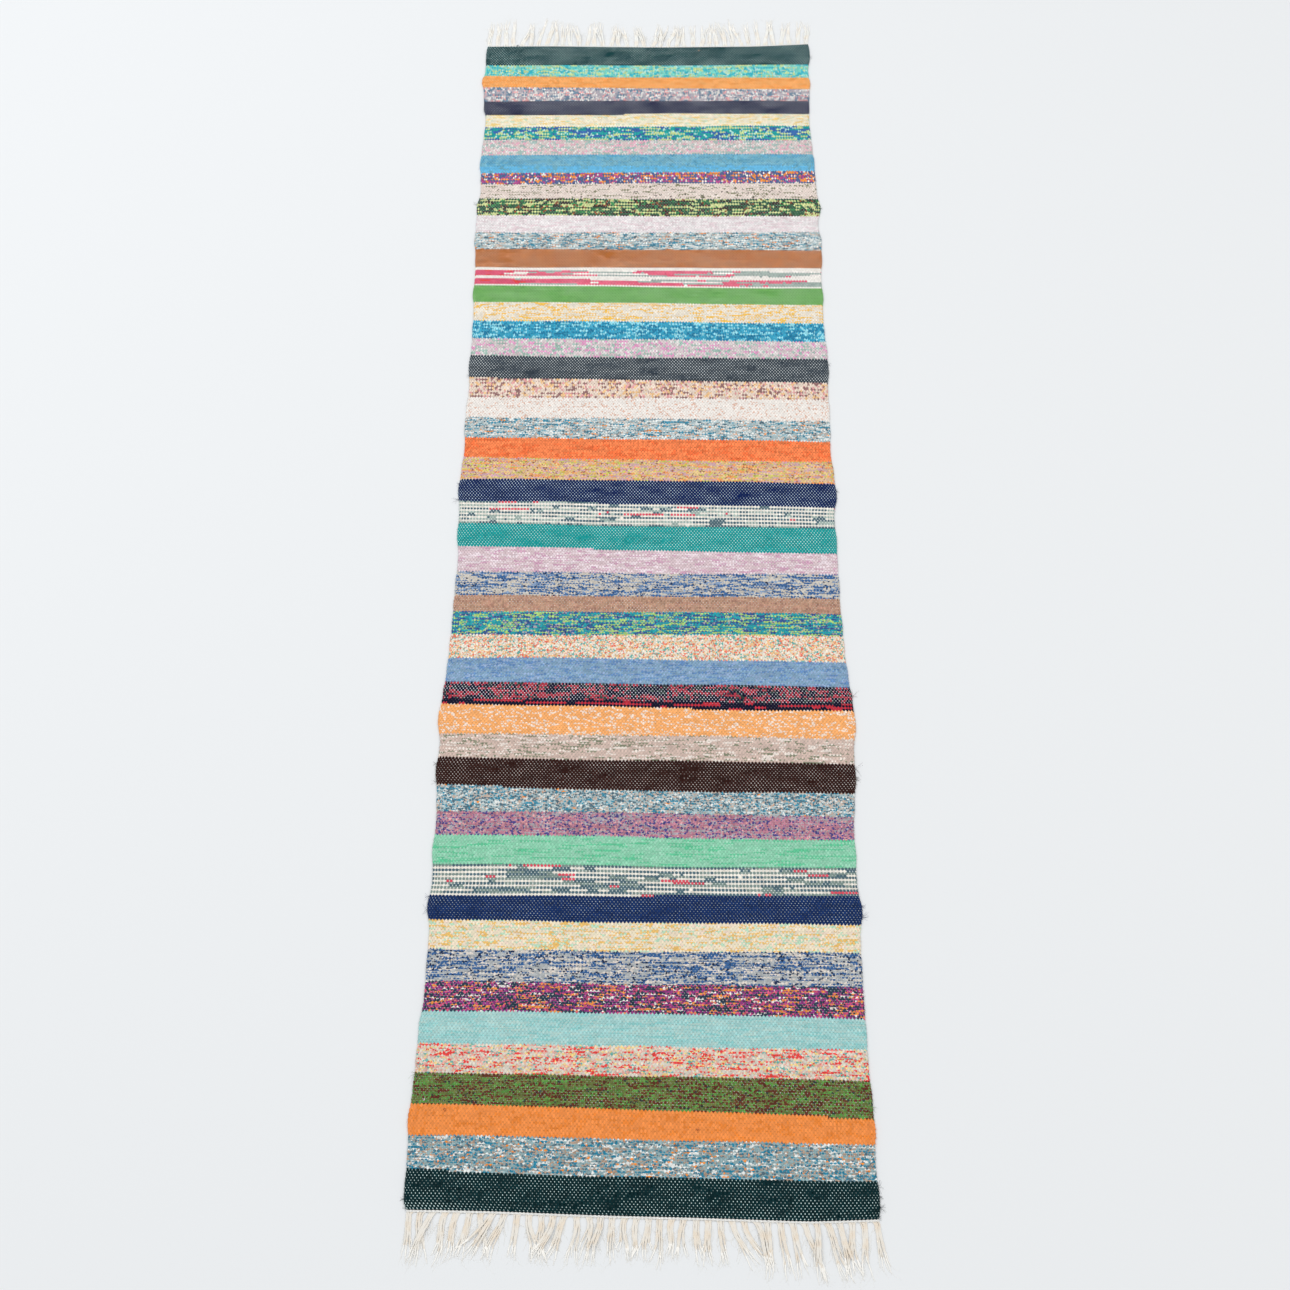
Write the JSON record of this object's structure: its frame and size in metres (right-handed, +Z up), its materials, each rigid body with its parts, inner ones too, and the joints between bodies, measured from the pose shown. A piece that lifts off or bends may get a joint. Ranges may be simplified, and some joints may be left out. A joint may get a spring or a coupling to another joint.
{
  "type": "rag rug",
  "caption": "Long flat-woven striped rag rug in cotton, with a white heading and a loose warp fringe at each end.",
  "frame": {"origin": "middle of the rug's underside, on the floor", "axes": "+Y along the rug to its far end, +X across it, +Z up out of the floor"},
  "size_m": [0.7386, 2.8718, 0.004],
  "materials": {
    "rag_weave": "dull plain weave of cotton rag weft in many colours, with dots of off-white warp",
    "warp_cotton": "undyed plied cotton, matt"
  },
  "bodies": {
    "root": {"woven_cloth": "rag_weave", "near_fringe": "warp_cotton", "far_fringe": "warp_cotton"}
  },
  "joints": []
}
